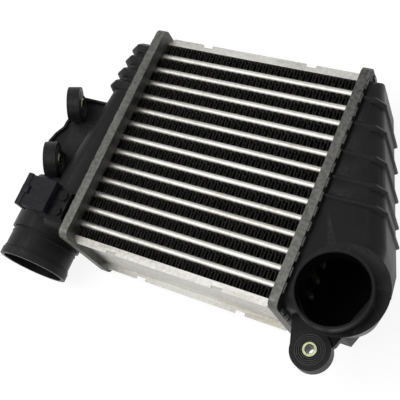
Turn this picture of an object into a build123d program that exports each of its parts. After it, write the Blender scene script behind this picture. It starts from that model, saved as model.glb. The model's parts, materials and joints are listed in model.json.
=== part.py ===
from build123d import *
import os

os.makedirs("parts", exist_ok=True)

# Sizes, in millimetres. X runs along the tubes from the outlet tank to the inlet tank,
# Y runs up the stack of tubes and Z comes out of the face of the core.

# Where the bush of the inlet tank's eye stands, seen from the middle of the core
eye_x = 126.5
eye_y = -119.0
eye_z = 23.5

# Tubes
tube_count = 13
tube_pitch = 14.0
tube_thickness = 5.3
tube_wall = 0.5
tube_nose = 1.55
core_depth = 64.0
tube_length = 196.2

# Cooling fins
fin_legs = 14
fin_sheet = 0.7
fin_setback = 1.0
fin_end_gap = 0.4
fin_height = tube_pitch - tube_thickness

# Side plates
plate_sheet = 1.5
plate_rise = 6.65
plate_notch_width = 9.0
plate_notch_depth = 2.6
plate_notch_places = (-53.0, 45.0)
plate_end_cut = 3.4

# Header plates
header_inner_x = 91.6
header_height = 7.7
header_end_reach = 7.95
header_side_reach = 13.7
header_corner = 7.0
header_sheet = 1.5
field_x = 95.0
field_end_gap = 2.5
field_side_gap = 1.5
field_corner_gap = 0.7
pan_corner = 4.5
braze_gap = 0.05
tab_count = 15
tab_end_count = 6
tab_margin = 16.5
tab_width = 8.0
tab_reach = 3.0
tab_inset = 1.0
tab_sheet = 1.0

# Gaskets and tank feet
gasket_thickness = 2.3
gasket_outer_gap = 0.8
gasket_inner_gap = 1.8
foot_side_gap = 0.2
rib_gap = 0.4

# Tanks
tank_wall = 2.5
tank_end_ledge = 3.8
tank_side_ledge = 4.2
bevel_share = 0.6
rib_sink = 0.3
rib_slope = 45.0

# Inlet tank
inlet_top_x = 108.5
inlet_belly_x = 155.5
inlet_belly_y = -34.0
inlet_low_x = 157.5
inlet_low_y = -52.0
inlet_bottom_x = 141.0
inlet_edge_round = 13.0
inlet_rib_height = 2.0
inlet_rib_crest = 1.2
inlet_rib_levels = (77.0, 54.0, 29.0, 7.0, -9.0)
socket_x = 137.3
socket_y = -81.0
socket_height = 12.0
socket_radius = 28.5
socket_wall = 1.9
collar_x = 139.7
collar_y = -76.3
collar_root_z = 2.0
collar_root_radius = 22.0
collar_rise = 8.0
collar_top_radius = 34.6
collar_wall = 3.4

# Outlet tank
outlet_top_x = 120.0
outlet_bottom_x = 139.0
outlet_corner_cut = 13.0
outlet_edge_round = 18.0
outlet_rib_height = 3.5
outlet_rib_crest = 2.0
outlet_rib_levels = (82.8, 70.7, 57.1, 44.1)
pipe_x = -146.5
pipe_z = -9.0
pipe_radius = 30.0
pipe_wall = 2.5
pipe_mouth_y = -127.0
elbow_radius = 32.0
elbow_top_y = -50.0
elbow_low_y = -100.0
bead_radius = 31.3
bead_length = 6.5

# Fixing eyes
eye_radius = 15.5
eye_bore = 12.0
eye_length = 11.0
bush_radius = 5.5
bush_bore = 3.25
bush_proud = 1.5
bore_overrun = 3.0
fit_gap = 0.03
arm_thickness = 6.0
arm_left_x = 103.0
arm_right_x = 147.0
arm_sink = 3.0
arm_left_rise = 3.0
arm_right_rise = 9.0
outlet_eye_axis = (0.869, 0.387, -0.309)
outlet_eye_faces = ((-151.1, 21.3, 28.0), (-146.1, -35.0, 28.0))
web_low_z = 12.0
web_thickness = 3.0
web_lip_height = 3.0
web_lip_width = 2.2
saddle_width = 24.0
saddle_length = 10.0
saddle_drop = 2.2
saddle_turn = 24.0
saddle_height = 14.0

# Charge-air sensor
seat_rise = 1.5
seat_x = -119.5
seat_y = -78.0
seat_length = 31.0
seat_width = 26.0
seat_height = 14.0
probe_radius = 5.0
probe_hole_radius = 6.5
probe_length = 26.0
flange_length = 28.0
flange_width = 24.0
flange_thickness = 3.5
flange_shift = 1.5
sensor_body_x = -133.0
sensor_body_y = -76.0
sensor_body_length = 30.0
sensor_body_width = 28.0
sensor_body_height = 10.5
connector_depth = 16.0
connector_wall = 2.0
screw_x = -109.5
screw_spacing = 14.0
screw_radius = 2.0
screw_head_radius = 4.6
screw_head_height = 2.6
screw_length = 6.9
seal_height = 2.0

# Sizes that follow from the ones above
core_half_depth = core_depth / 2
fin_half_length = header_inner_x - fin_end_gap
fin_step = 2 * fin_half_length / fin_legs
stack_half_height = (tube_count * tube_pitch + fin_height) / 2
plate_edge = stack_half_height + plate_rise
header_half_length = stack_half_height + header_end_reach
header_half_depth = core_half_depth + header_side_reach
header_outer_x = header_inner_x + header_height
groove_x = header_inner_x + header_sheet
groove_half_length = header_half_length - header_sheet
groove_half_depth = header_half_depth - header_sheet
foot_x = groove_x + gasket_thickness
rib_start_x = header_outer_x + tab_sheet + rib_gap
tank_half_length = groove_half_length - tank_end_ledge
tank_half_depth = groove_half_depth - tank_side_ledge
collar_top_z = tank_half_depth + collar_rise
socket_mouth_z = collar_top_z + socket_height
seat_top_z = tank_half_depth + seat_rise
field_half_length = tank_half_length - tank_wall - field_end_gap
field_half_depth = tank_half_depth - tank_wall - field_side_gap
field_corner = (
    bevel_share * outlet_edge_round - field_end_gap - field_side_gap + field_corner_gap
)
inlet_corners = (
    (inlet_top_x, tank_half_length),
    (inlet_belly_x, inlet_belly_y),
    (inlet_low_x, inlet_low_y),
    (inlet_bottom_x, -tank_half_length),
)
outlet_corners = (
    (outlet_top_x - outlet_corner_cut, tank_half_length),
    (outlet_top_x, tank_half_length - outlet_corner_cut),
    (outlet_bottom_x, outlet_corner_cut - tank_half_length),
    (outlet_bottom_x - outlet_corner_cut, -tank_half_length),
)
arm_half_length = tank_half_length - arm_sink

# Datum planes through the middle of the core: its face, its side and its top
core_middle = (-eye_x, -eye_y, -eye_z)
FACE = Plane(origin=core_middle)
SIDE = Plane(origin=core_middle, x_dir=(0, 1, 0), z_dir=(1, 0, 0))
TOP = Plane(origin=core_middle, x_dir=(1, 0, 0), z_dir=(0, -1, 0))


def from_core(x, y, z):
    """Give the place of a point that is measured from the middle of the core."""
    return (x - eye_x, y - eye_y, z - eye_z)


# Tubes, from the top one down
for number in range(1, tube_count + 1):
    level = ((tube_count + 1) / 2 - number) * tube_pitch
    with BuildPart() as tube:
        with BuildSketch(SIDE.offset(-tube_length / 2)) as tube_outside:
            with Locations((level, 0)):
                Rectangle(tube_thickness, core_depth)
            chamfer(tube_outside.vertices(), tube_nose)
        extrude(amount=tube_length)
        with BuildSketch(SIDE.offset(-tube_length / 2)) as tube_inside:
            with Locations((level, 0)):
                Rectangle(tube_thickness - 2 * tube_wall, core_depth - 2 * tube_wall)
            chamfer(tube_inside.vertices(), tube_nose - tube_wall / 2)
        extrude(amount=tube_length, mode=Mode.SUBTRACT)
    tube.part.label = f"tube_{number:02d}"
    export_step(tube.part, f"parts/tube_{number:02d}.step")

# Fin rows, from the top one down: each a sheet folded up and down between two tubes
for number in range(1, tube_count + 2):
    base = stack_half_height - number * tube_pitch + tube_thickness
    under = [
        (-fin_half_length + step * fin_step, base + (step % 2) * (fin_height - fin_sheet))
        for step in range(fin_legs + 1)
    ]
    over = [(x, y + fin_sheet) for x, y in reversed(under)]
    with BuildPart() as fin_row:
        with BuildSketch(FACE.offset(fin_setback - core_half_depth)):
            with BuildLine():
                Polyline(*under, *over, close=True)
            make_face()
        extrude(amount=core_depth - 2 * fin_setback)
    fin_row.part.label = f"fin_row_{number:02d}"
    export_step(fin_row.part, f"parts/fin_row_{number:02d}.step")

# Upper side plate: a channel with its flanges turned away from the fins
with BuildPart() as side_plate_upper:
    with BuildSketch(SIDE.offset(-header_inner_x)):
        with Locations((stack_half_height + plate_rise / 2, 0)):
            Rectangle(plate_rise, core_depth)
        with Locations((stack_half_height + plate_sheet + plate_rise / 2, 0)):
            Rectangle(plate_rise, core_depth - 2 * plate_sheet, mode=Mode.SUBTRACT)
    extrude(amount=2 * header_inner_x)
    with BuildSketch(FACE.offset(-core_half_depth)):
        with Locations(*[(place, plate_edge) for place in plate_notch_places]):
            Rectangle(plate_notch_width, 2 * plate_notch_depth)
        with Locations((-header_inner_x, plate_edge), (header_inner_x, plate_edge)):
            Rectangle(2 * plate_end_cut, 2 * plate_end_cut, rotation=45)
    extrude(amount=core_depth, mode=Mode.SUBTRACT)
side_plate_upper.part.label = "side_plate_upper"
export_step(side_plate_upper.part, "parts/side_plate_upper.step")

# Lower side plate, the same turned over
with BuildPart() as side_plate_lower:
    mirror(side_plate_upper.part, about=TOP)
side_plate_lower.part.label = "side_plate_lower"
export_step(side_plate_lower.part, "parts/side_plate_lower.step")

# Inlet header plate: a pan with a groove round a raised field of tube slots
with BuildPart() as header_inlet:
    with BuildSketch(SIDE.offset(header_inner_x)):
        RectangleRounded(2 * header_half_length, 2 * header_half_depth, header_corner)
    extrude(amount=header_height)
    with BuildSketch(SIDE.offset(groove_x)) as groove:
        Rectangle(2 * groove_half_length, 2 * groove_half_depth)
        chamfer(groove.vertices(), pan_corner)
    extrude(amount=header_height, mode=Mode.SUBTRACT)
    with BuildSketch(SIDE.offset(groove_x)) as field:
        Rectangle(2 * field_half_length, 2 * field_half_depth)
        chamfer(field.vertices(), field_corner)
    extrude(amount=field_x + header_sheet - groove_x)
    with BuildSketch(SIDE.offset(header_inner_x)) as field_back:
        Rectangle(
            2 * (field_half_length - header_sheet), 2 * (field_half_depth - header_sheet)
        )
        chamfer(field_back.vertices(), field_corner)
    extrude(amount=field_x - header_inner_x, mode=Mode.SUBTRACT)
    with BuildSketch(SIDE.offset(field_x)) as slots:
        with GridLocations(tube_pitch, 0, tube_count, 1):
            Rectangle(tube_thickness + 2 * braze_gap, core_depth + 2 * braze_gap)
        chamfer(slots.vertices(), tube_nose)
    extrude(amount=header_sheet, mode=Mode.SUBTRACT)
    with BuildSketch(SIDE.offset(header_outer_x)):
        with GridLocations(
            2 * (header_half_length - tab_margin) / (tab_count - 1),
            2 * (header_half_depth - tab_inset) - tab_reach,
            tab_count,
            2,
        ):
            Rectangle(tab_width, tab_reach)
        with GridLocations(
            2 * (header_half_length - tab_inset) - tab_reach,
            2 * (header_half_depth - tab_margin) / (tab_end_count - 1),
            2,
            tab_end_count,
        ):
            Rectangle(tab_reach, tab_width)
    extrude(amount=tab_sheet)
header_inlet.part.label = "header_plate_inlet"
export_step(header_inlet.part, "parts/header_plate_inlet.step")

# Outlet header plate
with BuildPart() as header_outlet:
    mirror(header_inlet.part, about=SIDE)
header_outlet.part.label = "header_plate_outlet"
export_step(header_outlet.part, "parts/header_plate_outlet.step")

# Gasket of the inlet tank, lying in the groove
with BuildPart() as gasket_inlet:
    with BuildSketch(SIDE.offset(groove_x)) as ring:
        Rectangle(
            2 * (groove_half_length - gasket_outer_gap),
            2 * (groove_half_depth - gasket_outer_gap),
        )
        chamfer(ring.vertices(), pan_corner)
    extrude(amount=gasket_thickness)
    with BuildSketch(SIDE.offset(groove_x)) as ring_inside:
        Rectangle(
            2 * (field_half_length + gasket_inner_gap),
            2 * (field_half_depth + gasket_inner_gap),
        )
        chamfer(ring_inside.vertices(), field_corner)
    extrude(amount=gasket_thickness, mode=Mode.SUBTRACT)
gasket_inlet.part.label = "gasket_inlet"
export_step(gasket_inlet.part, "parts/gasket_inlet.step")

# Gasket of the outlet tank
with BuildPart() as gasket_outlet:
    mirror(gasket_inlet.part, about=SIDE)
gasket_outlet.part.label = "gasket_outlet"
export_step(gasket_outlet.part, "parts/gasket_outlet.step")

# Foot that both tanks stand on, under the crimped tabs
with BuildPart() as foot:
    with BuildSketch(SIDE.offset(foot_x)) as foot_outline:
        Rectangle(
            2 * (groove_half_length - foot_side_gap), 2 * (groove_half_depth - foot_side_gap)
        )
        chamfer(foot_outline.vertices(), pan_corner)
    extrude(amount=header_outer_x - foot_x)


def tank_block(corners, edge_round):
    """Build the body of a tank, with the edges along its face and its back rounded."""
    with BuildPart() as block:
        with BuildSketch(FACE.offset(-tank_half_depth)):
            with BuildLine():
                Polyline(
                    (foot_x, tank_half_length),
                    *corners,
                    (foot_x, -tank_half_length),
                    close=True,
                )
            make_face()
        extrude(amount=2 * tank_half_depth)
        for side in (0, -1):
            face_edges = block.faces().sort_by(Axis.Z)[side].edges().sort_by(Axis.X)[1:]
            fillet(face_edges, edge_round)
    return block.part


def tank_hollow(corners, edge_round):
    """Build the hollow of a tank, a wall smaller than its body and open at its foot."""
    half_depth = tank_half_depth - tank_wall
    with BuildPart() as hollow:
        with BuildSketch(FACE.offset(-half_depth)):
            with BuildLine():
                Polyline(
                    (foot_x - tank_wall, tank_half_length),
                    *corners,
                    (foot_x - tank_wall, -tank_half_length),
                    close=True,
                )
            make_face()
            offset(amount=-tank_wall, kind=Kind.INTERSECTION)
        extrude(amount=2 * half_depth)
        for side in (0, -1):
            face_edges = hollow.faces().sort_by(Axis.Z)[side].edges().sort_by(Axis.X)[1:]
            chamfer(face_edges, bevel_share * edge_round)
    return hollow.part


def tank_ribs(levels, top, low, height, crest, edge_round):
    """Build a tank's ribs: ridges across its face, outer wall and back at some levels.

    The outer wall runs straight from the top point to the low one.
    """
    with BuildPart() as ribs:
        for level in levels:
            fall = (top[1] - level) / (top[1] - low[1])
            reach = top[0] + fall * (low[0] - top[0]) + height
            with BuildSketch(TOP.offset(-level)) as section:
                with Locations((rib_start_x, 0)):
                    Rectangle(
                        reach - rib_start_x,
                        2 * (tank_half_depth + height),
                        align=(Align.MIN, Align.CENTER),
                    )
                chamfer(section.vertices().group_by(Axis.X)[-1], bevel_share * edge_round)
            extrude(amount=crest / 2, both=True)
            for side in (1, -1):
                flank = ribs.faces().filter_by(Axis.Y).sort_by_distance(
                    from_core(rib_start_x, level + side * crest / 2, 0)
                )[0]
                extrude(flank, amount=height + rib_sink, taper=rib_slope)
    return ribs.part


# Collar that carries the hose socket, narrowing towards the back of the tank
with BuildPart() as collar:
    with BuildSketch(FACE.offset(collar_root_z)):
        with Locations((collar_x, collar_y)):
            Circle(collar_root_radius)
    with BuildSketch(FACE.offset(collar_top_z)):
        with Locations((collar_x, collar_y)):
            Circle(collar_top_radius)
    loft()

# Hollow of the collar
with BuildPart() as collar_hollow:
    with BuildSketch(FACE.offset(collar_root_z + tank_wall)):
        with Locations((collar_x, collar_y)):
            Circle(collar_root_radius - collar_wall)
    with BuildSketch(FACE.offset(collar_top_z - tank_wall)):
        with Locations((collar_x, collar_y)):
            Circle(collar_top_radius - collar_wall)
    loft()

# Inlet tank
eye_face_z = eye_z - bush_proud
with BuildPart() as tank_inlet:
    add(foot.part)
    add(tank_block(inlet_corners, inlet_edge_round))
    add(
        tank_ribs(
            inlet_rib_levels,
            inlet_corners[0],
            inlet_corners[1],
            inlet_rib_height,
            inlet_rib_crest,
            inlet_edge_round,
        )
    )
    add(collar.part)
    with BuildSketch(FACE.offset(collar_top_z)):
        with Locations((socket_x, socket_y)):
            Circle(socket_radius)
    extrude(amount=socket_mouth_z - collar_top_z)
    with BuildSketch(FACE.offset(eye_face_z - eye_length)):
        with Locations((eye_x, eye_y)):
            Circle(eye_radius)
    extrude(amount=eye_length)
    with BuildSketch(FACE.offset(eye_face_z - (eye_length + arm_thickness) / 2)):
        with BuildLine():
            Polyline(
                (arm_left_x, -arm_half_length),
                (eye_x - eye_radius, eye_y - arm_left_rise),
                (eye_x, eye_y - eye_bore),
                (eye_x + eye_radius, eye_y + arm_right_rise),
                (arm_right_x, -arm_half_length),
                close=True,
            )
        make_face()
    extrude(amount=arm_thickness)
    add(tank_hollow(inlet_corners, inlet_edge_round), mode=Mode.SUBTRACT)
    add(collar_hollow.part, mode=Mode.SUBTRACT)
    with BuildSketch(FACE.offset(collar_top_z - tank_wall - socket_wall)):
        with Locations((socket_x, socket_y)):
            Circle(socket_radius - socket_wall)
    extrude(amount=socket_mouth_z, mode=Mode.SUBTRACT)
    with BuildSketch(FACE.offset(eye_face_z - eye_length)):
        with Locations((eye_x, eye_y)):
            Circle(eye_bore)
    extrude(amount=eye_length, mode=Mode.SUBTRACT)
tank_inlet.part.label = "tank_inlet"
export_step(tank_inlet.part, "parts/tank_inlet.step")

# Web that carries the two eyes of the outlet tank
web_points = (
    (-115.0, 33.0),
    (-158.0, 33.0),
    (-163.0, 20.0),
    (-166.0, 5.0),
    (-166.0, 0.0),
    (-171.0, -8.0),
    (-174.0, -17.0),
    (-168.0, -36.0),
    (-150.0, -53.0),
    (-115.0, -53.0),
)
with BuildPart() as web:
    with BuildSketch(FACE.offset(web_low_z)):
        with BuildLine():
            Polyline(*web_points, close=True)
        make_face()
    extrude(amount=web_thickness + web_lip_height)
    with BuildSketch(FACE.offset(web_low_z + web_thickness)):
        with BuildLine():
            Polyline(*web_points, close=True)
        make_face()
        offset(amount=-web_lip_width, kind=Kind.INTERSECTION)
    extrude(amount=web_lip_height, mode=Mode.SUBTRACT)

# Planes on the faces of the outlet tank's eyes, square to their bores
outlet_eye_planes = [
    Plane(origin=from_core(*place), z_dir=outlet_eye_axis) for place in outlet_eye_faces
]

# Outlet tank
with BuildPart() as tank_outlet:
    mirror(foot.part, about=SIDE)
    mirror(tank_block(outlet_corners, outlet_edge_round), about=SIDE)
    mirror(
        tank_ribs(
            outlet_rib_levels,
            outlet_corners[1],
            outlet_corners[2],
            outlet_rib_height,
            outlet_rib_crest,
            outlet_edge_round,
        ),
        about=SIDE,
    )
    add(web.part)
    with BuildSketch(TOP.offset(-elbow_top_y)):
        with Locations((pipe_x, pipe_z)):
            Circle(elbow_radius)
    extrude(amount=elbow_top_y - elbow_low_y)
    with BuildSketch(TOP.offset(-elbow_low_y)):
        with Locations((pipe_x, pipe_z)):
            Circle(pipe_radius)
    extrude(amount=elbow_low_y - pipe_mouth_y)
    with BuildSketch(TOP.offset(-pipe_mouth_y - bead_length)):
        with Locations((pipe_x, pipe_z)):
            Circle(bead_radius)
    extrude(amount=bead_length)
    with BuildSketch(FACE.offset(seat_top_z - seat_height)):
        with Locations((seat_x, seat_y)):
            Rectangle(seat_length, seat_width)
    extrude(amount=seat_height)
    for place in outlet_eye_faces:
        with BuildSketch(FACE.offset(web_low_z)):
            with Locations((place[0] - eye_length / 2, place[1] - saddle_drop)):
                Rectangle(saddle_length, saddle_width, rotation=saddle_turn)
        extrude(amount=saddle_height)
    for eye_plane in outlet_eye_planes:
        with BuildSketch(eye_plane):
            Circle(eye_radius)
        extrude(amount=-eye_length)
    mirror(tank_hollow(outlet_corners, outlet_edge_round), about=SIDE, mode=Mode.SUBTRACT)
    with BuildSketch(TOP.offset(pipe_wall - elbow_top_y)):
        with Locations((pipe_x, pipe_z)):
            Circle(pipe_radius - pipe_wall)
    extrude(amount=elbow_top_y - pipe_wall - pipe_mouth_y, mode=Mode.SUBTRACT)
    for eye_plane in outlet_eye_planes:
        with BuildSketch(eye_plane.offset(bore_overrun)):
            Circle(eye_bore)
        extrude(amount=-eye_length - 2 * bore_overrun, mode=Mode.SUBTRACT)
    with BuildSketch(FACE.offset(seat_top_z - seat_height)):
        with Locations((seat_x, seat_y)):
            Circle(probe_hole_radius)
    extrude(amount=seat_height, mode=Mode.SUBTRACT)
    with BuildSketch(FACE.offset(seat_top_z - screw_length + flange_thickness)):
        with Locations((screw_x, seat_y)):
            with GridLocations(0, screw_spacing, 1, 2):
                Circle(screw_radius)
    extrude(amount=screw_length - flange_thickness, mode=Mode.SUBTRACT)
tank_outlet.part.label = "tank_outlet"
export_step(tank_outlet.part, "parts/tank_outlet.step")

# Grommets, one pressed into each eye
eye_planes = [FACE.offset(eye_face_z)] + outlet_eye_planes
eye_places = [(eye_x, eye_y), (0, 0), (0, 0)]
with BuildPart() as grommets:
    for eye_plane, eye_place in zip(eye_planes, eye_places):
        with BuildSketch(eye_plane.offset(fit_gap)):
            with Locations(eye_place):
                Circle(eye_bore - fit_gap)
                Circle(bush_radius + fit_gap, mode=Mode.SUBTRACT)
        extrude(amount=-eye_length - 2 * fit_gap)
grommets.part.label = "grommets"
export_step(grommets.part, "parts/grommets.step")

# Bushes, one through each grommet
with BuildPart() as bushes:
    for eye_plane, eye_place in zip(eye_planes, eye_places):
        with BuildSketch(eye_plane.offset(bush_proud)):
            with Locations(eye_place):
                Circle(bush_radius)
                Circle(bush_bore, mode=Mode.SUBTRACT)
        extrude(amount=-eye_length - 2 * bush_proud)
bushes.part.label = "bushes"
export_step(bushes.part, "parts/bushes.step")

# Charge-air sensor: a flange on its seat, a probe in the air and an open connector
with BuildPart() as sensor:
    with BuildSketch(FACE.offset(seat_top_z)):
        with Locations((seat_x + flange_shift, seat_y)):
            Rectangle(flange_length, flange_width)
    extrude(amount=flange_thickness)
    with BuildSketch(FACE.offset(seat_top_z)):
        with Locations((sensor_body_x, sensor_body_y)):
            Rectangle(sensor_body_length, sensor_body_width)
    extrude(amount=sensor_body_height)
    with BuildSketch(FACE.offset(seat_top_z - probe_length)):
        with Locations((seat_x, seat_y)):
            Circle(probe_radius)
    extrude(amount=probe_length)
    with BuildSketch(SIDE.offset(sensor_body_x - sensor_body_length / 2)):
        with Locations((sensor_body_y, seat_top_z + sensor_body_height / 2)):
            Rectangle(
                sensor_body_width - 2 * connector_wall, sensor_body_height - 2 * connector_wall
            )
    extrude(amount=connector_depth, mode=Mode.SUBTRACT)
    with BuildSketch(FACE.offset(seat_top_z)):
        with Locations((screw_x, seat_y)):
            with GridLocations(0, screw_spacing, 1, 2):
                Circle(screw_radius)
    extrude(amount=flange_thickness, mode=Mode.SUBTRACT)
sensor.part.label = "sensor"
export_step(sensor.part, "parts/sensor.step")

# Seal round the probe
with BuildPart() as sensor_seal:
    with BuildSketch(FACE.offset(seat_top_z - seal_height)):
        with Locations((seat_x, seat_y)):
            Circle(probe_hole_radius - fit_gap)
            Circle(probe_radius + fit_gap, mode=Mode.SUBTRACT)
    extrude(amount=seal_height)
sensor_seal.part.label = "sensor_seal"
export_step(sensor_seal.part, "parts/sensor_seal.step")

# Sensor screws with hexagon heads, two alike
with BuildPart() as sensor_screws:
    with BuildSketch(FACE.offset(seat_top_z + flange_thickness)):
        with Locations((screw_x, seat_y)):
            with GridLocations(0, screw_spacing, 1, 2):
                RegularPolygon(screw_head_radius, 6)
    extrude(amount=screw_head_height)
    with BuildSketch(FACE.offset(seat_top_z + flange_thickness)):
        with Locations((screw_x, seat_y)):
            with GridLocations(0, screw_spacing, 1, 2):
                Circle(screw_radius - fit_gap)
    extrude(amount=fit_gap - screw_length)
sensor_screws.part.label = "sensor_screws"
export_step(sensor_screws.part, "parts/sensor_screws.step")
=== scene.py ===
"""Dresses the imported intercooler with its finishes, folded fins, rounded tubes and softened mouldings.

It also sets the floor, the light and the camera of the photograph.
"""

import json
import logging
import math
from dataclasses import dataclass, field
from enum import Enum
from typing import Iterable

import bmesh
import bpy
from mathutils import Matrix, Vector


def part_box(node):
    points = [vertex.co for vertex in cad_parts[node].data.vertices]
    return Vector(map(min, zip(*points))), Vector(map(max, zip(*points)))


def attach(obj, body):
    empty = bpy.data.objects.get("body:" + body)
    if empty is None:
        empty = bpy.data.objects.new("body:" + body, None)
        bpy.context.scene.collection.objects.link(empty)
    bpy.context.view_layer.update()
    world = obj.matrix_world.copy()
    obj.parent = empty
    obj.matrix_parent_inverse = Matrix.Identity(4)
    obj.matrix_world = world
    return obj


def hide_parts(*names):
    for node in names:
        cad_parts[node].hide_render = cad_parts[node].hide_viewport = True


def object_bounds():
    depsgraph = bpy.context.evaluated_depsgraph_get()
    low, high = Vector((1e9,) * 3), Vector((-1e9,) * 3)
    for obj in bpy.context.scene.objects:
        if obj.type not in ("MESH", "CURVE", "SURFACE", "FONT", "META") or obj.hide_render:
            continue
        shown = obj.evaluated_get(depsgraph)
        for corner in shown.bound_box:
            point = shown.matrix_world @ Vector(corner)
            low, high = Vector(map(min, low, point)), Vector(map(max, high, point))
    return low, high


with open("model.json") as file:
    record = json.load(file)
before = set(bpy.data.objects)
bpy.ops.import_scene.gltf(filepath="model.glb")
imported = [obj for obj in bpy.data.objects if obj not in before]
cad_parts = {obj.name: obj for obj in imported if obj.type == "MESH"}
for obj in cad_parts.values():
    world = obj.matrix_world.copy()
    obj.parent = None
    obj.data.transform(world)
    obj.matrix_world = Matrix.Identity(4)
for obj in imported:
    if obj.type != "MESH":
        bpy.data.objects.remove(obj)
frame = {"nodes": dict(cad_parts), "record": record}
CAD_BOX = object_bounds()

logging.basicConfig(level=logging.INFO, format="%(message)s")
LOG = logging.getLogger("intercooler")

MM = 0.001

Socket = bpy.types.NodeSocket
Color = tuple[float, float, float]


class Slot(Enum):
    """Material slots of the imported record."""

    TUBE = "tube_aluminium"
    FIN = "fin_aluminium"
    HEADER = "header_aluminium"
    TANK = "tank_plastic"
    SENSOR = "sensor_plastic"
    RUBBER = "rubber"
    STEEL = "plated_steel"


def numbered(stem: str) -> list[str]:
    """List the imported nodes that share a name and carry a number.

    Args:
        stem: Name before the number, such as "tube".

    Returns:
        Node names in order.
    """
    return sorted(name for name in frame["nodes"] if name.startswith(stem + "_") and name[-1].isdigit())


# Shader groups

NOISE_ROUGHNESS = 0.6
PATCH_DETAIL = 4.0
GRAIN_DETAIL = 3.0
GRAIN_SHARE = 0.35
MOTTLE_SPAN = (0.45, 0.95)
ROUGH_SPAN = (0.40, 0.95)
EDGE_SPAN = (0.505, 0.56)
RUBS_PER_METRE = 350.0
RUB_SPAN = (0.35, 0.65)
RUB_SHARE = (0.25, 1.0)
# Black of the painted shade inside bores and between the fins.
PAINTED_SHADE_BLACK = (0.002, 0.002, 0.002, 1.0)


class NodeTree:
    """Short calls for adding and wiring shader nodes."""

    def __init__(self, tree: bpy.types.NodeTree) -> None:
        """Keep the tree that the nodes go into."""
        self.tree = tree

    def add(self, kind: str, **settings: object) -> bpy.types.Node:
        """Add a node.

        Args:
            kind: Blender's type name of the node.
            settings: Attributes to set on it.

        Returns:
            The new node.
        """
        node = self.tree.nodes.new(kind)
        for name, value in settings.items():
            setattr(node, name, value)
        return node

    def wire(self, start: Socket, end: Socket) -> None:
        """Join an output to an input."""
        self.tree.links.new(start, end)

    def feed(self, value: object, end: Socket) -> None:
        """Wire a socket to an input, or set the input to a value.

        Args:
            value: Output socket, number, vector or colour.
            end: Input that takes it.
        """
        if isinstance(value, Socket):
            self.wire(value, end)
        else:
            end.default_value = value

    def calc(self, operation: str, *values: Socket | float) -> Socket:
        """Add a Math node.

        Args:
            operation: Blender's name of the operation.
            values: What goes in, in the order of the node's inputs.

        Returns:
            Socket with the result.
        """
        node = self.add("ShaderNodeMath", operation=operation)
        for value, end in zip(values, node.inputs):
            self.feed(value, end)
        return node.outputs["Value"]

    def vector(self, operation: str, *values: Socket) -> bpy.types.Node:
        """Add a Vector Math node.

        Args:
            operation: Blender's name of the operation.
            values: What goes in, in the order of the node's inputs.

        Returns:
            The node.
        """
        node = self.add("ShaderNodeVectorMath", operation=operation)
        for value, end in zip(values, node.inputs):
            self.wire(value, end)
        return node

    def noise(self, where: Socket, scale: Socket | float, detail: float) -> Socket:
        """Add a noise texture.

        Args:
            where: Socket that gives the position.
            scale: Cells per metre.
            detail: Octaves.

        Returns:
            Socket with the noise.
        """
        node = self.add("ShaderNodeTexNoise")
        self.wire(where, node.inputs["Vector"])
        self.feed(scale, node.inputs["Scale"])
        node.inputs["Detail"].default_value = detail
        node.inputs["Roughness"].default_value = NOISE_ROUGHNESS
        return node.outputs["Fac"]

    def stretched(self, where: Socket, scale: tuple[float, float, float]) -> Socket:
        """Stretch a position with a Mapping node.

        Args:
            where: Socket that gives the position.
            scale: Factor along each axis.

        Returns:
            Socket with the stretched position.
        """
        node = self.add("ShaderNodeMapping")
        self.wire(where, node.inputs["Vector"])
        node.inputs["Scale"].default_value = scale
        return node.outputs["Vector"]

    def spread(
        self,
        value: Socket,
        from_range: tuple[float, float],
        to_range: tuple[Socket | float, Socket | float] = (0.0, 1.0),
    ) -> Socket:
        """Map a value from one range to another and clamp it.

        Args:
            value: Socket to map.
            from_range: Lowest and highest value that comes in.
            to_range: What they become.

        Returns:
            Socket with the mapped value.
        """
        node = self.add("ShaderNodeMapRange", clamp=True)
        self.wire(value, node.inputs["Value"])
        for side, start, end in zip(("Min", "Max"), from_range, to_range):
            self.feed(start, node.inputs["From " + side])
            self.feed(end, node.inputs["To " + side])
        return node.outputs["Result"]

    def blend(self, mask: Socket, low: Socket, high: Socket) -> Socket:
        """Mix two colours by a mask.

        Args:
            mask: Socket from 0 to 1.
            low: Colour where the mask is 0.
            high: Colour where the mask is 1.

        Returns:
            Socket with the mixed colour.
        """
        node = self.add("ShaderNodeMix", data_type="RGBA")
        self.wire(mask, node.inputs["Factor"])
        self.wire(low, node.inputs["A"])
        self.wire(high, node.inputs["B"])
        return node.outputs["Result"]

    def group(self, name: str, inputs: dict[str, object]) -> bpy.types.Node:
        """Add one of the shader groups.

        Args:
            name: Name of the group.
            inputs: Socket or value for each input that is set.

        Returns:
            The group's node.
        """
        node = self.add("ShaderNodeGroup", node_tree=GROUPS[name])
        for label, value in inputs.items():
            self.feed(value, node.inputs[label])
        return node

    def mix(self, share: Socket, low: Socket, high: Socket, output: bpy.types.Node) -> None:
        """Mix two shaders and send the result to the tree's output.

        Args:
            share: Share of the second shader.
            low: First shader.
            high: Second shader.
            output: Output node of the tree.
        """
        node = self.add("ShaderNodeMixShader")
        for value, end in zip((share, low, high), node.inputs):
            self.wire(value, end)
        self.wire(node.outputs["Shader"], output.inputs["Surface"])


def new_group(
    name: str,
    inputs: Iterable[tuple[str, str, object]],
    outputs: Iterable[tuple[str, str]],
) -> NodeTree:
    """Start a shader node group with named sockets.

    Args:
        name: Name of the group.
        inputs: Name, socket type and default of each input.
        outputs: Name and socket type of each output.

    Returns:
        The group's tree, without its nodes.
    """
    tree = bpy.data.node_groups.new(name, "ShaderNodeTree")
    for label, kind, default in inputs:
        socket = tree.interface.new_socket(name=label, in_out="INPUT", socket_type=kind)
        socket.default_value = default
    for label, kind in outputs:
        tree.interface.new_socket(name=label, in_out="OUTPUT", socket_type=kind)
    return NodeTree(tree)


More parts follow.
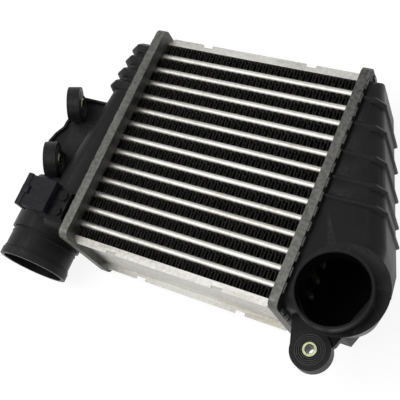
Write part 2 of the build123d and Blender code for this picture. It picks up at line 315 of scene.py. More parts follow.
def mottle_group() -> bpy.types.NodeTree:
    """Build the group that mottles a surface in two sizes.

    Returns:
        Group with a colour, a roughness and a height that change over the surface.
    """
    made = new_group(
        "mottle",
        (
            ("Vector", "NodeSocketVector", (0.0, 0.0, 0.0)),
            ("Dark", "NodeSocketColor", (0.4, 0.4, 0.4, 1.0)),
            ("Light", "NodeSocketColor", (0.6, 0.6, 0.6, 1.0)),
            ("Patch Scale", "NodeSocketFloat", 60.0),
            ("Grain Scale", "NodeSocketFloat", 1200.0),
            ("Roughness Low", "NodeSocketFloat", 0.3),
            ("Roughness High", "NodeSocketFloat", 0.5),
        ),
        (
            ("Color", "NodeSocketColor"),
            ("Roughness", "NodeSocketFloat"),
            ("Height", "NodeSocketFloat"),
        ),
    )
    start = made.add("NodeGroupInput")
    end = made.add("NodeGroupOutput")
    patches = made.noise(start.outputs["Vector"], start.outputs["Patch Scale"], PATCH_DETAIL)
    grain = made.noise(start.outputs["Vector"], start.outputs["Grain Scale"], GRAIN_DETAIL)
    both = made.calc("MULTIPLY_ADD", grain, GRAIN_SHARE, patches)
    mask = made.spread(both, MOTTLE_SPAN)
    made.wire(made.blend(mask, start.outputs["Dark"], start.outputs["Light"]), end.inputs["Color"])
    levels = (start.outputs["Roughness Low"], start.outputs["Roughness High"])
    made.wire(made.spread(both, ROUGH_SPAN, levels), end.inputs["Roughness"])
    made.wire(grain, end.inputs["Height"])
    return made.tree


def wear_group() -> bpy.types.NodeTree:
    """Build the group that rubs edges paler.

    Returns:
        Group with the worn colour.
    """
    made = new_group(
        "edge_wear",
        (
            ("Vector", "NodeSocketVector", (0.0, 0.0, 0.0)),
            ("Color", "NodeSocketColor", (0.1, 0.1, 0.1, 1.0)),
            ("Worn", "NodeSocketColor", (0.2, 0.2, 0.2, 1.0)),
            ("Amount", "NodeSocketFloat", 0.5),
        ),
        (("Color", "NodeSocketColor"),),
    )
    start = made.add("NodeGroupInput")
    end = made.add("NodeGroupOutput")
    edge = made.spread(made.add("ShaderNodeNewGeometry").outputs["Pointiness"], EDGE_SPAN)
    broken = made.noise(start.outputs["Vector"], RUBS_PER_METRE, GRAIN_DETAIL)
    rubbed = made.calc("MULTIPLY", edge, made.spread(broken, RUB_SPAN, RUB_SHARE))
    mask = made.calc("MULTIPLY", rubbed, start.outputs["Amount"])
    made.wire(made.blend(mask, start.outputs["Color"], start.outputs["Worn"]), end.inputs["Color"])
    return made.tree


def bore_shade_group() -> bpy.types.NodeTree:
    """Build the group that paints shade inside a round bore, darkening the colour where the hole's inside
    falls into shade.

    Returns:
        Group with the darkened colour.
    """
    made = new_group(
        "bore_painted_shade",
        (
            ("Vector", "NodeSocketVector", (0.0, 0.0, 0.0)),
            ("Color", "NodeSocketColor", (0.1, 0.1, 0.1, 1.0)),
            ("Painted Shade", "NodeSocketColor", PAINTED_SHADE_BLACK),
            ("Middle", "NodeSocketVector", (0.0, 0.0, 0.0)),
            ("Axis", "NodeSocketVector", (0.0, 0.0, 1.0)),
            ("Radius", "NodeSocketFloat", 0.01),
            ("Reach", "NodeSocketFloat", 0.02),
        ),
        (("Color", "NodeSocketColor"),),
    )
    start = made.add("NodeGroupInput")
    end = made.add("NodeGroupOutput")
    away = made.vector("SUBTRACT", start.outputs["Vector"], start.outputs["Middle"]).outputs["Vector"]
    across = made.vector("CROSS_PRODUCT", away, start.outputs["Axis"]).outputs["Vector"]
    radius = made.vector("LENGTH", across).outputs["Value"]
    depth = made.vector("DOT_PRODUCT", away, start.outputs["Axis"]).outputs["Value"]
    inside = made.calc("LESS_THAN", radius, start.outputs["Radius"])
    near = made.calc("LESS_THAN", made.calc("ABSOLUTE", depth), start.outputs["Reach"])
    mask = made.calc("MULTIPLY", inside, near)
    made.wire(made.blend(mask, start.outputs["Color"], start.outputs["Painted Shade"]), end.inputs["Color"])
    return made.tree


GROUPS: dict[str, bpy.types.NodeTree] = {
    "mottle": mottle_group(),
    "edge_wear": wear_group(),
    "bore_painted_shade": bore_shade_group(),
}
MOUNTS: dict[str, dict] = {mount["name"]: mount for mount in frame["record"]["mounts"]}


# Finishes


@dataclass(frozen=True)
class Finish:
    """A surface finish made of mottle, grain and rubbed edges, with painted shade in bores and between the
    fins where set.

    Attributes:
        name: Name of the material.
        dark: Colour of the darker patches.
        light: Colour of the lighter patches.
        worn: Colour of rubbed edges.
        metallic: 1 for bare metal.
        roughness: Lowest and highest roughness.
        patch_scale: Patches per metre.
        grain_scale: Grains per metre.
        stretch: Factor that draws the grain out along an axis.
        bump: Depth of the grain, in metres.
        wear: How far the edges are rubbed.
        specular: Strength of the reflection off a surface that is no metal.
        bores: Mounts whose bores get painted shade inside, the radius of each bore and its reach from the
            mount.
        painted_shade_depth: Depth below the core's faces over which the colour sinks into painted shade,
            or 0.
    """

    name: str
    dark: Color
    light: Color
    worn: Color
    metallic: float
    roughness: tuple[float, float]
    patch_scale: float = 60.0
    grain_scale: float = 1200.0
    stretch: tuple[float, float, float] = (1.0, 1.0, 1.0)
    bump: float = 0.00004
    wear: float = 0.5
    specular: float = 0.5
    bores: tuple[tuple[str, float, float], ...] = ()
    painted_shade_depth: float = 0.0

    def build(self) -> bpy.types.Material:
        """Build the material.

        Returns:
            The new material.
        """
        material = bpy.data.materials.new(self.name)
        material.use_nodes = True
        tree = NodeTree(material.node_tree)
        shader = material.node_tree.nodes["Principled BSDF"]
        where = tree.add("ShaderNodeTexCoord").outputs["Object"]
        mottle = tree.group(
            "mottle",
            {
                "Vector": tree.stretched(where, self.stretch),
                "Dark": (*self.dark, 1.0),
                "Light": (*self.light, 1.0),
                "Patch Scale": self.patch_scale,
                "Grain Scale": self.grain_scale,
                "Roughness Low": self.roughness[0],
                "Roughness High": self.roughness[1],
            },
        )
        wear = tree.group(
            "edge_wear",
            {
                "Vector": where,
                "Color": mottle.outputs["Color"],
                "Worn": (*self.worn, 1.0),
                "Amount": self.wear,
            },
        )
        color = wear.outputs["Color"]
        # Painted shade: each listed bore is darkened inside.
        for mount, radius, reach in self.bores:
            bore_shade = tree.group(
                "bore_painted_shade",
                {
                    "Vector": where,
                    "Color": color,
                    "Middle": MOUNTS[mount]["pos_m"],
                    "Axis": MOUNTS[mount]["axis"],
                    "Radius": radius,
                    "Reach": reach,
                },
            )
            color = bore_shade.outputs["Color"]
        # Painted shade between the fins, black beyond this depth below the core's faces.
        if self.painted_shade_depth:
            color = self.painted_depth_shade(tree, where, color)
        tree.wire(color, shader.inputs["Base Color"])
        tree.wire(mottle.outputs["Roughness"], shader.inputs["Roughness"])
        bump = tree.add("ShaderNodeBump")
        bump.inputs["Strength"].default_value = 1.0
        bump.inputs["Distance"].default_value = self.bump
        tree.wire(mottle.outputs["Height"], bump.inputs["Height"])
        tree.wire(bump.outputs["Normal"], shader.inputs["Normal"])
        shader.inputs["Metallic"].default_value = self.metallic
        shader.inputs["Specular IOR Level"].default_value = self.specular
        return material

    def painted_depth_shade(self, tree: NodeTree, where: Socket, color: Socket) -> Socket:
        """Paint shade between the fins: darken a colour away from the core's face and back, where shade
        falls inside the core.

        Args:
            tree: The material's tree.
            where: Socket that gives the position.
            color: Colour at the face.

        Returns:
            Socket with the faded colour.
        """
        low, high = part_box("fin_row_01")
        half = (high.z - low.z) / 2
        split = tree.add("ShaderNodeSeparateXYZ")
        tree.wire(where, split.inputs["Vector"])
        away = tree.calc("ABSOLUTE", tree.calc("SUBTRACT", split.outputs["Z"], low.z + half))
        mask = tree.spread(away, (half - self.painted_shade_depth, half))
        deep = tree.add("ShaderNodeRGB")
        # Socket with the colour under the painted shade.
        deep.outputs["Color"].default_value = PAINTED_SHADE_BLACK
        return tree.blend(mask, deep.outputs["Color"], color)


ROLLED = Finish(
    "rolled_aluminium",
    dark=(0.25, 0.225, 0.175),
    light=(0.62, 0.625, 0.60),
    worn=(0.70, 0.70, 0.68),
    metallic=0.95,
    roughness=(0.34, 0.50),
    patch_scale=60.0,
    grain_scale=1500.0,
    stretch=(0.2, 1.0, 1.0),
    bump=0.00003,
)
BRAZED = Finish(
    "brazed_aluminium",
    dark=(0.025, 0.025, 0.0225),
    light=(0.12, 0.12, 0.114),
    worn=(0.30, 0.30, 0.286),
    metallic=1.0,
    roughness=(0.42, 0.62),
    patch_scale=70.0,
    grain_scale=900.0,
    stretch=(1.0, 0.25, 1.0),
    bump=0.00006,
)
# Painted shade: the foil is near black, far darker than bare aluminium, for the shade in the gaps between
# the fins.
SHADE_DARK_FOIL = Finish(
    "fin_foil_painted_shade",
    dark=(0.013, 0.0127, 0.0117),
    light=(0.088, 0.085, 0.077),
    worn=(0.21, 0.205, 0.19),
    metallic=1.0,
    roughness=(0.45, 0.65),
    patch_scale=120.0,
    grain_scale=1500.0,
    # Painted shade between the fins below the core's faces.
    painted_shade_depth=3.0 * MM,
)
MOULDED = Finish(
    "moulded_tank_plastic",
    dark=(0.006, 0.006, 0.0065),
    light=(0.012, 0.012, 0.013),
    worn=(0.04, 0.04, 0.042),
    metallic=0.0,
    roughness=(0.34, 0.52),
    patch_scale=40.0,
    grain_scale=2200.0,
    bump=0.00005,
    wear=0.6,
    specular=0.14,
    # Painted shade inside the inlet socket and the outlet pipe.
    bores=(("inlet_spigot", 27.6 * MM, 28.0 * MM), ("outlet_pipe", 28.6 * MM, 50.0 * MM)),
)
SENSOR_MOULDED = Finish(
    "sensor_plastic",
    dark=(0.005, 0.005, 0.006),
    light=(0.010, 0.010, 0.012),
    worn=(0.035, 0.035, 0.038),
    metallic=0.0,
    roughness=(0.3, 0.45),
    patch_scale=90.0,
    grain_scale=2600.0,
    bump=0.00003,
    specular=0.14,
)
BLACK_RUBBER = Finish(
    "grommet_rubber",
    dark=(0.003, 0.003, 0.003),
    light=(0.006, 0.006, 0.006),
    worn=(0.03, 0.03, 0.03),
    metallic=0.0,
    roughness=(0.55, 0.75),
    patch_scale=140.0,
    grain_scale=2600.0,
    bump=0.00005,
    specular=0.08,
)
ZINC = Finish(
    "zinc_plated_steel",
    dark=(0.20, 0.215, 0.10),
    light=(0.46, 0.49, 0.28),
    worn=(0.66, 0.69, 0.50),
    metallic=1.0,
    roughness=(0.28, 0.45),
    patch_scale=260.0,
    grain_scale=2600.0,
    bump=0.00002,
    # Painted shade inside the bushes' bores.
    bores=tuple((name, 3.6 * MM, 20.0 * MM) for name in MOUNTS if name.startswith("fixing_eye")),
)
# Painted highlight: a paler copy of the grommet rubber for the ridges, so that their crests show lighter
# than the grommet's face.
RIDGE_HIGHLIGHT_RUBBER = Finish(
    "ridge_highlight_rubber",
    dark=(0.022, 0.022, 0.023),
    light=(0.05, 0.05, 0.051),
    worn=(0.08, 0.08, 0.08),
    metallic=0.0,
    roughness=(0.3, 0.45),
    patch_scale=300.0,
    grain_scale=2600.0,
    specular=0.18,
).build()
BLACKENED = Finish(
    "blackened_steel",
    dark=(0.003, 0.003, 0.003),
    light=(0.007, 0.007, 0.007),
    worn=(0.03, 0.03, 0.028),
    metallic=0.0,
    roughness=(0.42, 0.6),
    patch_scale=300.0,
    grain_scale=2600.0,
    bump=0.00002,
    specular=0.08,
).build()
FINISHES: dict[Slot, bpy.types.Material] = {
    Slot.TUBE: ROLLED.build(),
    Slot.FIN: SHADE_DARK_FOIL.build(),
    Slot.HEADER: BRAZED.build(),
    Slot.TANK: MOULDED.build(),
    Slot.SENSOR: SENSOR_MOULDED.build(),
    Slot.RUBBER: BLACK_RUBBER.build(),
    Slot.STEEL: ZINC.build(),
}


# Meshes


def shade(mesh: bpy.types.Mesh, angle: float) -> None:
    """Shade a mesh smooth, with sharp edges where faces meet at more than an angle.

    Args:
        mesh: Mesh to shade.
        angle: Angle in degrees.
    """
    mesh.polygons.foreach_set("use_smooth", [True] * len(mesh.polygons))
    mesh.set_sharp_from_angle(angle=math.radians(angle))
    mesh.update()


def finish_piece(
    name: str,
    shape: bmesh.types.BMesh,
    slot: Slot,
    nodes: Iterable[str] = (),
    smooth_angle: float = 35.0,
    material: bpy.types.Material | None = None,
) -> bpy.types.Object:
    """Turn a shape into a piece of the intercooler.

    Args:
        name: Name of the piece.
        shape: Shape in the row frame, in metres. It is freed.
        slot: Slot whose finish the piece takes.
        nodes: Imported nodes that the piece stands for.
        smooth_angle: Angle in degrees up to which its faces blend.
        material: Material in place of the slot's own.

    Returns:
        The new object.
    """
    mesh = bpy.data.meshes.new(name)
    shape.to_mesh(mesh)
    shape.free()
    shade(mesh, smooth_angle)
    mesh.materials.append(material or FINISHES[slot])
    piece = bpy.data.objects.new(name, mesh)
    bpy.context.scene.collection.objects.link(piece)
    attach(piece, "root")
    if nodes:
        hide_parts(*nodes)
    LOG.info("%s: %d faces", name, len(mesh.polygons))
    return piece


def block(shape: bmesh.types.BMesh, low: Vector, high: Vector) -> None:
    """Add a box between two corners.

    Args:
        shape: Shape that gets the box.
        low: Lowest corner.
        high: Highest corner.
    """
    place = Matrix.Translation((low + high) / 2) @ Matrix.Diagonal((*(high - low), 1.0))
    bmesh.ops.create_cube(shape, size=1.0, matrix=place)


@dataclass
class Tubes:
    """The flat tubes, with round noses and open ends.

    Attributes:
        wall: Thickness of the tube's sheet.
        mouth: Depth of the hollow that shows at each end.
        nose_segments: Steps round each long edge.
        nose_share: Rounding of each long edge as a share of the tube's height.
        end_facing: Share of a face's normal along the tube above which it is an end.
    """

    wall: float = 0.5 * MM
    mouth: float = 18.0 * MM
    nose_segments: int = 8
    nose_share: float = 0.499
    end_facing: float = 0.9

    def build(self) -> None:
        """Build a round-nosed piece for each packed tube."""
        for node in numbered("tube"):
            finish_piece(node + "_rounded", self.one(node), Slot.TUBE, [node])

    def one(self, node: str) -> bmesh.types.BMesh:
        """Shape one tube.

        Args:
            node: Packed tube that it stands for.

        Returns:
            The tube's shape.
        """
        low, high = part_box(node)
        shape = bmesh.new()
        block(shape, low, high)
        size = high - low
        along = [edge for edge in shape.edges if abs((edge.verts[0].co - edge.verts[1].co).x) > size.x / 2]
        bmesh.ops.bevel(
            shape,
            geom=along,
            offset=self.nose_share * size.y,
            offset_type="OFFSET",
            segments=self.nose_segments,
            profile=0.5,
            affect="EDGES",
            material=-1,
        )
        ends = [face for face in shape.faces if abs(face.normal.x) > self.end_facing]
        for end in ends:
            inward = -end.normal * self.mouth
            bmesh.ops.inset_individual(shape, faces=[end], thickness=self.wall, use_even_offset=True)
            lip = bmesh.ops.extrude_discrete_faces(shape, faces=[end])["faces"]
            bmesh.ops.translate(shape, verts=lip[0].verts, vec=inward)
        return shape


@dataclass
class Fins:
    """The folded fins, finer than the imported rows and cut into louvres.

    Attributes:
        folds: Pairs of legs along a row.
        sheet: Thickness of the foil.
        crest_flat: Share of the pitch that lies flat on a tube.
        louvre_width: Width of a louvre along the depth of the core.
        louvre_pitch: Distance from louvre to louvre, in louvre widths.
        louvre_angle: Turn of a louvre out of its leg, in degrees.
        margin: Height left uncut at each end of a louvre.
    """

    folds: int = 32
    sheet: float = 0.16 * MM
    crest_flat: float = 0.40
    louvre_width: float = 1.5 * MM
    louvre_pitch: float = 1.35
    louvre_angle: float = 24.0
    margin: float = 1.3 * MM

    def build(self) -> None:
        """Build a fine row for each packed fin row."""
        for node in numbered("fin_row"):
            piece = finish_piece(node + "_folded", self.fold(node), Slot.FIN, [node], smooth_angle=40.0)
            low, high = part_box(node)
            row = piece.modifiers.new("folds", "ARRAY")
            row.use_relative_offset = False
            row.use_constant_offset = True
            row.constant_offset_displace = ((high.x - low.x) / self.folds, 0.0, 0.0)
            row.count = self.folds

    def fold(self, node: str) -> bmesh.types.BMesh:
        """Shape one fold, two legs and two crests, at the low end of a row.

        Args:
            node: Packed fin row that it belongs to.

        Returns:
            The fold's shape.
        """
        low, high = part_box(node)
        pitch = (high.x - low.x) / self.folds
        flat = self.crest_flat * pitch
        bottom = low.y
        top = high.y
        shape = bmesh.new()
        across = (
            (0.0, bottom, flat / 2, bottom),
            (flat / 2, bottom, pitch / 2 - flat / 2, top),
            (pitch / 2 - flat / 2, top, pitch / 2 + flat / 2, top),
            (pitch / 2 + flat / 2, top, pitch - flat / 2, bottom),
            (pitch - flat / 2, bottom, pitch, bottom),
        )
        depth = high.z - low.z
        louvres = int(depth / self.louvre_width / self.louvre_pitch)
        for x0, y0, x1, y1 in across:
            start = Vector((low.x + x0, y0, low.z))
            end = Vector((low.x + x1, y1, high.z))
            if y0 != y1:
                self.leg(shape, start, end, louvres)
            elif y0 == bottom:
                end.y = bottom + self.sheet
                block(shape, start, end)
            else:
                start.y = top - self.sheet
                block(shape, start, end)
        return shape

    def leg(self, shape: bmesh.types.BMesh, start: Vector, end: Vector, louvres: int) -> None:
        """Add a leg: edge strips at its face and back, and louvres between them.

        Args:
            shape: Shape that gets the leg.
            start: Foot of the leg at the back of the core.
            end: Head of the leg at the face of the core.
            louvres: Number of louvres.
        """
        rise = Vector((end.x - start.x, end.y - start.y, 0.0))
        length = rise.length
        turn = Matrix.Rotation(math.atan2(rise.x, rise.y), 4, "Z").inverted()
        middle = Vector(((start.x + end.x) / 2, (start.y + end.y) / 2, 0.0))
        depth = end.z - start.z
        step = depth / louvres
        for number in range(louvres):
            if number in (0, louvres - 1):
                angle = 0.0
                size = (self.sheet, length, step)
            else:
                angle = math.radians(self.louvre_angle if number < louvres / 2 else -self.louvre_angle)
                size = (self.sheet, length - 2 * self.margin, self.louvre_width)
            place = (
                Matrix.Translation(middle + Vector((0.0, 0.0, start.z + (number + 0.5) * step)))
                @ turn
                @ Matrix.Rotation(angle, 4, "Y")
                @ Matrix.Diagonal((*size, 1.0))
            )
            bmesh.ops.create_cube(shape, size=1.0, matrix=place)


@dataclass
class Softened:
    """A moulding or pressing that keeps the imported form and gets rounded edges.

    Attributes:
        node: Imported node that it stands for.
        slot: Slot whose finish it takes.
        radius: Width of the rounding.
        segments: Steps across the rounding.
        edge_angle: Angle in degrees from which an edge is rounded.
        material: Material in place of the slot's own.
        smooth_angle: Angle in degrees up to which its faces blend.
        weld: Distance below which corners join.
        flat_angle: Angle in degrees below which faces join.
    """

    node: str
    slot: Slot
    radius: float
    segments: int = 2
    edge_angle: float = 28.0
    material: bpy.types.Material | None = None
    smooth_angle: float = 30.0
    weld: float = 0.004 * MM
    flat_angle: float = 0.4

    def build(self) -> None:
        """Build the piece, with a live Bevel modifier."""
        shape = bmesh.new()
        shape.from_mesh(frame["nodes"][self.node].data)
        bmesh.ops.remove_doubles(shape, verts=shape.verts, dist=self.weld)
        bmesh.ops.dissolve_limit(
            shape,
            angle_limit=math.radians(self.flat_angle),
            use_dissolve_boundaries=False,
            verts=shape.verts,
            edges=shape.edges,
        )
        name = self.node + "_softened"
        piece = finish_piece(name, shape, self.slot, [self.node], self.smooth_angle, self.material)
        bevel = piece.modifiers.new("edges", "BEVEL")
        bevel.width = self.radius
        bevel.segments = self.segments
        bevel.limit_method = "ANGLE"
        bevel.angle_limit = math.radians(self.edge_angle)
        bevel.use_clamp_overlap = True
        bevel.harden_normals = False


@dataclass
class Rings:
    """Round ridges about a line: those moulded on the grommets and on the outlet pipe.

    Attributes:
        steps: Steps round a ring.
        section_steps: Steps round its section.
        grommet_radii: Radii of the ridges on each face of a grommet, measured from its middle.
        grommet_section: Radius of their section.
        grommet_half_length: Distance of a grommet's faces from the middle of its bush.
        bush_reach: Distance from a fixing point within which its bush lies.
        pipe_places: Distance of each ridge of the pipe from the middle of its bead, and its radius.
        pipe_section: Radius of their section.
    """

    steps: int = 64
    section_steps: int = 10
    grommet_radii: tuple[float, ...] = (6.55 * MM, 8.1 * MM, 9.65 * MM, 11.2 * MM)
    grommet_section: float = 0.66 * MM
    grommet_half_length: float = 5.5 * MM
    bush_reach: float = 20.0 * MM
    pipe_places: tuple[tuple[float, float], ...] = ((19.8 * MM, 30.1 * MM), (5.2 * MM, 30.1 * MM))
    pipe_section: float = 0.5 * MM

    def build(self) -> None:
        """Build the ridges of the grommets and of the pipe."""
        grommets = bmesh.new()
        for name, mount in MOUNTS.items():
            if name.startswith("fixing_eye"):
                self.grommet(grommets, Vector(mount["pos_m"]), Vector(mount["axis"]))
        # The grommet ridges take the paler rubber, a painted highlight on their crests.
        finish_piece("grommet_ridges", grommets, Slot.RUBBER, smooth_angle=60.0, material=RIDGE_HIGHLIGHT_RUBBER)
        pipe = bmesh.new()
        bead = MOUNTS["outlet_pipe"]
        axis = Vector(bead["axis"])
        for back, radius in self.pipe_places:
            self.ring(pipe, Vector(bead["pos_m"]) - axis * back, axis, radius, self.pipe_section)
        finish_piece("pipe_ridges", pipe, Slot.TANK, smooth_angle=60.0)

    def grommet(self, shape: bmesh.types.BMesh, place: Vector, axis: Vector) -> None:
        """Add the ridges on both faces of one grommet.

        Args:
            shape: Shape that gets them.
            place: Fixing point of the eye.
            axis: Direction of its bore.
        """
        corners = [vertex.co for vertex in frame["nodes"]["bushes"].data.vertices]
        bush = [corner for corner in corners if (corner - place).length < self.bush_reach]
        middle = sum(bush, Vector()) / len(bush)
        for side in (-1, 1):
            for radius in self.grommet_radii:
                face = middle + axis * side * self.grommet_half_length
                self.ring(shape, face, axis, radius, self.grommet_section)

    def ring(
        self,
        shape: bmesh.types.BMesh,
        middle: Vector,
        axis: Vector,
        radius: float,
        section: float,
    ) -> None:
        """Add one ring.

        Args:
            shape: Shape that gets it.
            middle: Middle of the ring.
            axis: Direction square to it.
            radius: Radius of the ring.
            section: Radius of its section.
        """
        turn = axis.to_track_quat("Z", "X").to_matrix().to_4x4()
        place = Matrix.Translation(middle) @ turn @ Matrix.Translation((radius, 0.0, 0.0))
        outline = bmesh.ops.create_circle(
            shape,
            segments=self.section_steps,
            radius=section,
            matrix=place @ Matrix.Rotation(math.radians(90.0), 4, "X"),
        )["verts"]
        edges = {edge for vertex in outline for edge in vertex.link_edges}
        bmesh.ops.spin(
            shape,
            geom=list(outline) + list(edges),
            cent=middle,
            axis=axis,
            angle=2 * math.pi,
            steps=self.steps,
            use_merge=True,
        )


@dataclass
class SensorTrim:
    """What stands up on the sensor's body: a rim round its mouth, a latch and a ridge.

    Attributes:
        body_length: Length of the body behind its mouth.
        body_height: Height of the body above its flange.
        rim_width: Width of the rim along the body.
        rim_height: How far the rim stands out.
        latch: Length, width and height of the latch.
        ridge_start: Distance of the ridge from the mouth.
        ridge_width: Width of the ridge.
        rounding: Rounding of every edge.
    """

    body_length: float = 30.0 * MM
    body_height: float = 10.5 * MM
    rim_width: float = 5.0 * MM
    rim_height: float = 0.8 * MM
    latch: tuple[float, float, float] = (8.0 * MM, 7.0 * MM, 2.0 * MM)
    ridge_start: float = 10.0 * MM
    ridge_width: float = 1.8 * MM
    rounding: float = 0.35 * MM

    def build(self) -> None:
        """Build the trim."""
        low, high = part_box("sensor")
        middle = (low.y + high.y) / 2
        foot = high.z - self.body_height
        top = high.z + self.rim_height
        rim_end = low.x + self.rim_width
        near = low.y - self.rim_height
        far = high.y + self.rim_height
        shape = bmesh.new()
        block(shape, Vector((low.x, near, high.z)), Vector((rim_end, far, top)))
        block(shape, Vector((low.x, near, foot)), Vector((rim_end, low.y, high.z)))
        block(shape, Vector((low.x, high.y, foot)), Vector((rim_end, far, high.z)))
        length, width, height = self.latch
        block(
            shape,
            Vector((low.x + self.rim_height, middle - width / 2, high.z)),
            Vector((low.x + length, middle + width / 2, high.z + height)),
        )
        ridge = middle - width
        block(
            shape,
            Vector((low.x + self.ridge_start, ridge, high.z)),
            Vector((low.x + self.body_length, ridge + self.ridge_width, top)),
        )
        bmesh.ops.bevel(
            shape,
            geom=shape.edges[:],
            offset=self.rounding,
            offset_type="OFFSET",
            segments=2,
            profile=0.5,
            affect="EDGES",
            material=-1,
        )
        finish_piece("sensor_trim", shape, Slot.SENSOR)


@dataclass
class Mouldings:
    """All pressings and mouldings that get softened edges."""

    pieces: list[Softened] = field(
        default_factory=lambda: [
            Softened("header_plate_inlet", Slot.HEADER, 0.5 * MM),
            Softened("header_plate_outlet", Slot.HEADER, 0.5 * MM),
            Softened("side_plate_upper", Slot.TUBE, 0.4 * MM),
            Softened("side_plate_lower", Slot.TUBE, 0.4 * MM),
            Softened("tank_inlet", Slot.TANK, 0.9 * MM, segments=3, edge_angle=36.0),
            Softened("tank_outlet", Slot.TANK, 1.1 * MM, segments=3, edge_angle=36.0, smooth_angle=40.0),
            Softened("sensor", Slot.SENSOR, 0.6 * MM),
            Softened("sensor_screws", Slot.STEEL, 0.3 * MM, material=BLACKENED),
            Softened("bushes", Slot.STEEL, 0.35 * MM),
        ]
    )

    def build(self) -> None:
        """Build every piece."""
        for piece in self.pieces:
            piece.build()


# Stage

WHITE = (1.0, 1.0, 1.0, 1.0)


@dataclass(frozen=True)
class Lamp:
    """A soft square lamp that faces the intercooler.

    Attributes:
        name: Name of the lamp.
        place: Its place, from the middle of the intercooler.
        size: Side of the square.
        power: Power in watts.
    """

    name: str
    place: tuple[float, float, float]
    size: float
    power: float

    def hang(self, middle: Vector) -> None:
        """Hang the lamp.

        Args:
            middle: Middle of the intercooler.
        """
        place = Vector(self.place)
        data = bpy.data.lights.new(self.name, "AREA")
        data.shape = "SQUARE"
        data.size = self.size
        data.energy = self.power
        lamp = bpy.data.objects.new(self.name, data)
        lamp.location = middle + place
        lamp.rotation_euler = place.to_track_quat("Z", "Y").to_euler()
        bpy.context.scene.collection.objects.link(lamp)


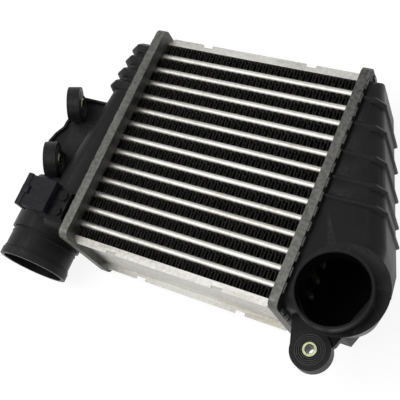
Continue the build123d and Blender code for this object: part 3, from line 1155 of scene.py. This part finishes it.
@dataclass
class Studio:
    """Floor, light and camera.

    Attributes:
        eye: Place of the camera in the row frame.
        right: Direction to the right of the picture.
        up: Direction to the top of the picture.
        back: Direction out of the picture.
        lens: Focal length in millimetres.
        sensor: Width of the camera's sensor in millimetres.
        floor_half: Half the side of the floor.
        floor_color: Colour of the floor under the lamps.
        floor_roughness: Roughness of the floor.
        glow: Strength of the floor's own light.
        glow_share: Share of that light in what the rays that see the background meet.
        sky_color: Colour of the light from all round.
        sky_strength: Strength of that light.
        lamps: The soft lamps.
    """

    eye: Vector = field(default_factory=lambda: Vector((0.1689, -0.0977, 0.5675)))
    right: Vector = field(default_factory=lambda: Vector((0.8602, 0.3924, -0.3258)))
    up: Vector = field(default_factory=lambda: Vector((-0.2448, 0.8781, 0.4112)))
    back: Vector = field(default_factory=lambda: Vector((0.4474, -0.2739, 0.8513)))
    lens: float = 73.935
    sensor: float = 36.0
    floor_half: float = 6.0
    floor_color: Color = (0.9, 0.9, 0.9)
    floor_roughness: float = 0.9
    glow: float = 1.13
    glow_share: float = 0.78
    sky_color: Color = (0.95, 0.97, 1.0)
    sky_strength: float = 0.4
    lamps: tuple[Lamp, ...] = (
        Lamp("key_lamp", (-0.42, -0.42, 1.25), 0.95, 8.0),
        Lamp("side_lamp", (1.4, 0.3, 0.7), 0.6, 0.6),
        Lamp("front_lamp", (0.1, -1.4, 0.6), 0.8, 1.0),
    )

    def build(self) -> None:
        """Build the whole stage."""
        middle = (CAD_BOX[0] + CAD_BOX[1]) / 2
        self.camera()
        self.floor(middle)
        for lamp in self.lamps:
            lamp.hang(middle)
        self.world()
        bpy.context.scene.view_settings.view_transform = "Standard"

    def camera(self) -> None:
        """Set the camera at the photograph's viewpoint."""
        data = bpy.data.cameras.new("camera")
        data.lens = self.lens
        data.sensor_width = self.sensor
        camera = bpy.data.objects.new("camera", data)
        turn = Matrix((self.right, self.up, self.back)).transposed().to_4x4()
        camera.matrix_world = Matrix.Translation(self.eye) @ turn
        bpy.context.scene.collection.objects.link(camera)
        bpy.context.scene.camera = camera

    def floor(self, middle: Vector) -> None:
        """Lay the pale floor under the intercooler.

        Args:
            middle: Middle of the intercooler.
        """
        shape = bmesh.new()
        place = Matrix.Translation((middle.x, middle.y, CAD_BOX[0].z))
        bmesh.ops.create_grid(shape, x_segments=1, y_segments=1, size=self.floor_half, matrix=place)
        mesh = bpy.data.meshes.new("floor")
        shape.to_mesh(mesh)
        shape.free()
        mesh.materials.append(self.floor_finish())
        floor = bpy.data.objects.new("floor", mesh)
        bpy.context.scene.collection.objects.link(floor)

    def floor_finish(self) -> bpy.types.Material:
        """Build the floor's material, plain white to the camera but for the shadow.

        Returns:
            The new material.
        """
        material = bpy.data.materials.new("floor_white")
        material.use_nodes = True
        tree = NodeTree(material.node_tree)
        shader = material.node_tree.nodes["Principled BSDF"]
        shader.inputs["Base Color"].default_value = (*self.floor_color, 1.0)
        shader.inputs["Roughness"].default_value = self.floor_roughness
        glow = tree.add("ShaderNodeEmission")
        glow.inputs["Strength"].default_value = self.glow
        share = tree.calc("MULTIPLY", self.seen_rays(tree), self.glow_share)
        output = material.node_tree.nodes["Material Output"]
        tree.mix(share, shader.outputs["BSDF"], glow.outputs["Emission"], output)
        return material

    def seen_rays(self, tree: NodeTree) -> Socket:
        """Tell the rays that see the background from those that light the object.

        Args:
            tree: Material or world that asks.

        Returns:
            Socket that is 1 for rays from the camera, off gloss and through glass.
        """
        path = tree.add("ShaderNodeLightPath")
        either = tree.calc("MAXIMUM", path.outputs["Is Camera Ray"], path.outputs["Is Glossy Ray"])
        return tree.calc("MAXIMUM", either, path.outputs["Is Transmission Ray"])

    def world(self) -> None:
        """Light the intercooler evenly from all round, with white behind it."""
        world = bpy.data.worlds.new("studio")
        world.use_nodes = True
        tree = NodeTree(world.node_tree)
        lit = world.node_tree.nodes["Background"]
        lit.inputs["Color"].default_value = (*self.sky_color, 1.0)
        lit.inputs["Strength"].default_value = self.sky_strength
        seen = tree.add("ShaderNodeBackground")
        seen.inputs["Color"].default_value = WHITE
        seen.inputs["Strength"].default_value = 1.0
        output = world.node_tree.nodes["World Output"]
        tree.mix(self.seen_rays(tree), lit.outputs["Background"], seen.outputs["Background"], output)
        bpy.context.scene.world = world


def dress_packed_nodes() -> None:
    """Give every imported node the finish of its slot."""
    slots = {row["node"]: row["material_slot"] for row in frame["record"]["subparts"]}
    for name, node in frame["nodes"].items():
        node.data.materials.clear()
        node.data.materials.append(FINISHES[Slot(slots[name])])


def main() -> None:
    """Build the intercooler's looks and the studio round it."""
    dress_packed_nodes()
    Tubes().build()
    Fins().build()
    Mouldings().build()
    Rings().build()
    SensorTrim().build()
    Studio().build()


if __name__ == "__main__":
    main()
